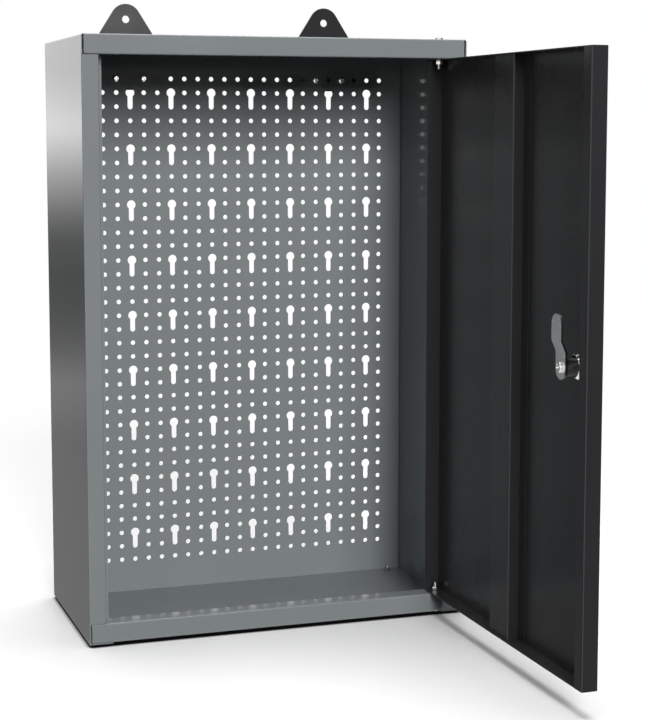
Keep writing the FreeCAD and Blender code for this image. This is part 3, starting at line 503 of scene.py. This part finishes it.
def buildLockBarrel(look):
    shell = newShell()
    place = seatAt((skinFace, *lockCentre), (0, 1, 0), (0, 0, 1), (1, 0, 0))
    end, rim, gauge, edge = -look["length"], look["rim"], look["rimGauge"], look["rimEdge"]

    def flatten(station):
        def at(angle):
            radius, height = station(angle) if callable(station) else station
            lift = max(tiny, abs(math.sin(angle)))
            return min(radius, look["flats"] / 2 / lift), height
        return at
    thread = threadStations(look["radius"], look["pitch"], look["depth"], end + look["start"], -look["neck"])
    path = [(look["bore"], end), flatten((look["radius"] - look["depth"] - look["tip"], end))]
    path += [flatten(station) for station in thread] + [flatten((look["radius"], 0))]
    path += [(rim - look["rimBack"], 0), (rim, look["rimBack"])]
    for k in range(look["edgeSteps"] + 1):
        angle = math.pi / 2 * k / look["edgeSteps"]
        path.append((rim - edge + edge * math.cos(angle), gauge - edge + edge * math.sin(angle)))
    path += [(look["seat"] + look["seatCut"], gauge), (look["seat"], gauge - look["seatCut"]),
             (look["seat"], gauge / 2), (look["bore"], gauge / 2)]
    addTurned(shell, place, path, look["steps"], loop=True)
    return shell


lockNutShell, camScrewShell = newShell(), newShell()
lockNutFace = skinFace - skinGauge - lockNut["height"]
lockNutSeat = seatAt((lockNutFace, *lockCentre), (0, 1, 0), (0, 0, 1), (1, 0, 0))
camScrewSeat = seatAt((camScrewSpot["face"], *lockCentre), *camScrewSpot["sides"], (-1, 0, 0))
addHexNut(lockNutShell, lockNutSeat, lockNut)
addPanScrew(camScrewShell, camScrewSeat, camScrewSpot["length"], camScrew)
makePiece("lockBarrel", buildLockBarrel(lockBarrel), blackCasting, "door", ["lock_housing"])
makePiece("lockNut", lockNutShell, nickel, "door", ["lock_nut"])
makePiece("camScrew", camScrewShell, nickel, "lock_rotor", ["cam_screw"])
print("cam lock built")


# finishes of the pieces that come straight from the model

finishes = {"body_wrap": greyPowder, "bottom_panel": greyPowder, "hanging_lug_left": lugPowder,
            "hanging_lug_right": lugPowder, "bottom_hinge_washer": zincSteel, "door_panel": blackPowder,
            "door_stiffener": blackPowder, "lock_plug": nickel, "lock_cam": camSteel}
for name, finish in finishes.items():
    mesh = nodes[name].data
    mesh.materials.clear()
    mesh.materials.append(finish)
print("finishes set on", len(finishes), "nodes")


# studio: pale floor, soft front box, cards that only gloss sees, light from above and a mirrored backdrop

studio = {"floorLevel": -628.8, "floorReach": 12000, "floorCells": 12, "floorColor": "#f4f4f4",
          "floorMirror": 0.05, "floorSheen": 0.08,
          # metres from the floor's centre where it starts to run into white and where it is white
          "floorCentre": (0, -0.25), "white": (0.9, 2.2),
          # height in metres up to which painted shade darkens the floor in a gap, and the open shares at
          # which that painted shadow is black and at which the floor is plain
          "paintedShadowReach": 0.008, "paintedShadowOpen": (0.45, 0.8),
          "ambient": 0.05,
          # what shiny surfaces see: a tone by height above the horizon,
          # times a share by degrees left of the front
          "heights": [(-0.30, 0.335), (-0.20, 0.318), (-0.177, 0.31), (-0.146, 0.42), (-0.123, 0.22),
                      (-0.105, 0.15), (-0.087, 0.125), (-0.064, 0.17), (-0.05, 0.35), (-0.028, 0.86),
                      (-0.001, 1.84), (0.02, 1.5), (0.032, 1.36), (0.06, 1.45), (0.3, 1.0)],
          "around": [(-180, 1.0), (-140, 0.8), (-90, 0.3), (-50, 0.15), (15, 0.15), (45, 0.5), (70, 0.7),
                     (140, 0.6), (161, 0.6), (167, 1.0), (180, 1.0)],
          # and two pale areas that bent edges and screws pick up: a wall on the left and the floor close by
          "leftWall": {"way": (-0.87, -0.5, 0), "range": (0.6, 0.8), "tone": 1.2},
          "nearFloor": {"below": -0.46, "fade": 0.1, "tone": 1.1},
          # the big box lights the paint; a dim card beside it and a small one are what gloss sees instead
          "key": {"place": (-0.45, -6.6, 2.37), "aim": (0, -0.2, -0.33), "size": (2.33, 3.23), "power": 460,
                  "shiny": False},
          "card": {"place": (-0.69, -6.58, 2.37), "aim": (0, -0.2, -0.33), "size": (2.33, 3.23), "power": 34,
                   "matt": False},
          "lugCard": {"place": (0.108, -1.0, 0.068), "aim": (-0.1125, 0, 0), "size": (0.14, 0.075),
                      "power": 0.066, "matt": False},
          # a broad pale card in front for the bright screws, bolts and nuts alone
          "metalCard": {"place": (0.25, -2.9, -0.15), "aim": (0, 0, -0.15), "size": (1.3, 0.9), "power": 9,
                        "matt": False},
          "metalPieces": ("lugScrews", "floorBolts", "floorNuts", "topHingeBolt", "topHingeNut",
                          "bottomHingeBolt", "bottomHingeNut", "lockNut", "camScrew"),
          "above": {"strength": 2.9, "spread": 40, "tilt": (-6, 3, 0)}}


def addSoftBox(name, look):
    lamp = bpy.data.lights.new(name, "AREA")
    lamp.shape = "RECTANGLE"
    lamp.size, lamp.size_y = look["size"]
    lamp.energy = look["power"]
    box = bpy.data.objects.new(name, lamp)
    box.location = look["place"]
    box.rotation_euler = (Vector(look["aim"]) - Vector(look["place"])).to_track_quat("-Z", "Y").to_euler()
    box.visible_camera = False
    box.visible_diffuse = look.get("matt", True)
    box.visible_glossy = look.get("shiny", True)
    bpy.context.scene.collection.objects.link(box)
    return box


addSoftBox("frontSoftBox", studio["key"])
addSoftBox("frontCard", studio["card"])
addSoftBox("lugCard", studio["lugCard"])
metalCard = addSoftBox("metalCard", studio["metalCard"])
brightMetal = bpy.data.collections.new("brightMetal")
for name in studio["metalPieces"]:
    brightMetal.objects.link(bpy.data.objects[name])
metalCard.light_linking.receiver_collection = brightMetal
above = bpy.data.lights.new("lightFromAbove", "SUN")
above.energy = studio["above"]["strength"]
above.angle = math.radians(studio["above"]["spread"])
sun = bpy.data.objects.new("lightFromAbove", above)
sun.rotation_euler = [math.radians(part) for part in studio["above"]["tilt"]]
bpy.context.scene.collection.objects.link(sun)

world = bpy.data.worlds.new("whiteStudio")
bpy.context.scene.world = world
world.use_nodes = True
sky = world.node_tree
way = addNode(sky, "ShaderNodeTexCoord").outputs["Generated"]
facing = addNode(sky, "ShaderNodeSeparateXYZ", {"Vector": way})


def addStops(value, stops):
    # tone that follows a value from stop to stop
    lowest, highest = stops[0][0], stops[-1][0]
    span = addNode(sky, "ShaderNodeMapRange", {"Value": value, "From Min": lowest, "From Max": highest})
    ramp = addNode(sky, "ShaderNodeValToRGB", {"Fac": span.outputs["Result"]})
    while len(ramp.color_ramp.elements) < len(stops):
        ramp.color_ramp.elements.new(0.5)
    for element, (spot, tone) in zip(ramp.color_ramp.elements, stops):
        element.position = (spot - lowest) / (highest - lowest)
        element.color = (tone, tone, tone, 1)
    return ramp.outputs["Color"]


turned = addNode(sky, "ShaderNodeVectorMath", {0: way, 1: (-1, -1, -1)}, operation="MULTIPLY")
sides = addNode(sky, "ShaderNodeSeparateXYZ", {"Vector": turned.outputs["Vector"]})
azimuth = addNode(sky, "ShaderNodeMath", {0: sides.outputs["X"], 1: sides.outputs["Y"]},
                  operation="ARCTAN2")
degrees = addNode(sky, "ShaderNodeMath", {0: azimuth.outputs["Value"], 1: math.degrees(1)},
                  operation="MULTIPLY")
backdrop = addNode(sky, "ShaderNodeMath", {0: addStops(facing.outputs["Z"], studio["heights"]),
                                           1: addStops(degrees.outputs["Value"], studio["around"])},
                   operation="MULTIPLY")
leftward = addNode(sky, "ShaderNodeVectorMath", {0: way, 1: studio["leftWall"]["way"]},
                   operation="DOT_PRODUCT")
leftWall = addNode(sky, "ShaderNodeMapRange", {"Value": leftward.outputs["Value"],
                                               "From Min": studio["leftWall"]["range"][0],
                                               "From Max": studio["leftWall"]["range"][1],
                                               "To Max": studio["leftWall"]["tone"]})
floorEdge = studio["nearFloor"]["below"]
nearFloor = addNode(sky, "ShaderNodeMapRange", {"Value": facing.outputs["Z"], "From Min": floorEdge,
                                                "From Max": floorEdge - studio["nearFloor"]["fade"],
                                                "To Max": studio["nearFloor"]["tone"]})
pale = addNode(sky, "ShaderNodeMath", {0: leftWall.outputs["Result"], 1: nearFloor.outputs["Result"]},
               operation="MAXIMUM")
horizon = addNode(sky, "ShaderNodeMath", {0: backdrop.outputs["Value"], 1: pale.outputs["Value"]},
                  operation="MAXIMUM").outputs["Value"]
path = addNode(sky, "ShaderNodeLightPath")
shiny = addNode(sky, "ShaderNodeMath", {0: path.outputs["Is Glossy Ray"],
                                        1: path.outputs["Is Transmission Ray"]},
                operation="MAXIMUM").outputs["Value"]
mirrored = addNode(sky, "ShaderNodeMix", {"Factor": shiny, "A": studio["ambient"], "B": horizon})
seen = addNode(sky, "ShaderNodeMix", {"Factor": path.outputs["Is Camera Ray"],
                                      "A": mirrored.outputs["Result"], "B": 1.0})
sky.links.new(seen.outputs["Result"], sky.nodes["Background"].inputs["Strength"])
sky.nodes["Background"].inputs["Color"].default_value = (1, 1, 1, 1)

floorShell = newShell()
reach, level, cells = studio["floorReach"], studio["floorLevel"], studio["floorCells"]
step = 2 * reach / cells
for i in range(cells):
    for j in range(cells):
        x, y = -reach + step * i, -reach + step * j
        addFace(floorShell, (x, y, level), (x + step, y, level),
                (x + step, y + step, level), (x, y + step, level))
floorMesh = bpy.data.meshes.new("paleFloor")
floorMesh.from_pydata(floorShell["points"], [], floorShell["faces"])
floor = bpy.data.objects.new("paleFloor", floorMesh)
bpy.context.scene.collection.objects.link(floor)
floorMaterial = bpy.data.materials.new("paleStudioFloor")
floorMaterial.use_nodes = True
tree = floorMaterial.node_tree
# painted shadow: occlusion darkens the floor's colour to black in the narrow gap under the cabinet
paintedGapShadow = addNode(tree, "ShaderNodeAmbientOcclusion", {"Distance": studio["paintedShadowReach"]})
lit = addNode(tree, "ShaderNodeMapRange", {"Value": paintedGapShadow.outputs["AO"], "From Min": studio["paintedShadowOpen"][0],
                                           "From Max": studio["paintedShadowOpen"][1]})
shade = addNode(tree, "ShaderNodeMix", {"Factor": lit.outputs["Result"], "A": (0, 0, 0, 1),
                                        "B": hexColor(studio["floorColor"])}, data_type="RGBA")
matt = addNode(tree, "ShaderNodeBsdfDiffuse", {"Color": shade.outputs["Result"]})
sheen = addNode(tree, "ShaderNodeBsdfGlossy", {"Roughness": studio["floorSheen"]})
mixed = addNode(tree, "ShaderNodeMixShader", {0: studio["floorMirror"], 1: matt.outputs["BSDF"],
                                              2: sheen.outputs["BSDF"]})
# away from the cabinet the floor runs into the white of the backdrop
place = addNode(tree, "ShaderNodeNewGeometry").outputs["Position"]
away = addNode(tree, "ShaderNodeVectorMath", {0: place, 1: (*studio["floorCentre"], level * mm)},
               operation="DISTANCE").outputs["Value"]
fade = addNode(tree, "ShaderNodeMapRange", {"Value": away, "From Min": studio["white"][0],
                                            "From Max": studio["white"][1]}, interpolation_type="SMOOTHSTEP")
white = addNode(tree, "ShaderNodeEmission", {"Color": (1, 1, 1, 1), "Strength": 1.0})
run = addNode(tree, "ShaderNodeMixShader", {0: fade.outputs["Result"], 1: mixed.outputs["Shader"],
                                            2: white.outputs["Emission"]})
tree.links.new(run.outputs["Shader"], tree.nodes["Material Output"].inputs["Surface"])
floorMesh.materials.append(floorMaterial)
floor.visible_diffuse = False  # no light thrown back up on to the cabinet
floor.visible_glossy = False
print("studio set")


# camera where the photograph was taken from

view = {"place": (-0.52277, -1.85895, -0.11475), "turn": (83.832, 0, -18.8905), "lens": 86.775,
        "sensor": 36, "shift": (0.00016, -0.06365), "clip": (0.01, 100)}
camera = bpy.data.cameras.new("photoCamera")
camera.lens = view["lens"]
camera.sensor_width = view["sensor"]
camera.sensor_fit = "AUTO"
camera.shift_x, camera.shift_y = view["shift"]
camera.clip_start, camera.clip_end = view["clip"]
eye = bpy.data.objects.new("photoCamera", camera)
eye.location = view["place"]
eye.rotation_euler = [math.radians(part) for part in view["turn"]]
bpy.context.scene.collection.objects.link(eye)
bpy.context.scene.camera = eye
bpy.context.scene.view_settings.view_transform = "Standard"
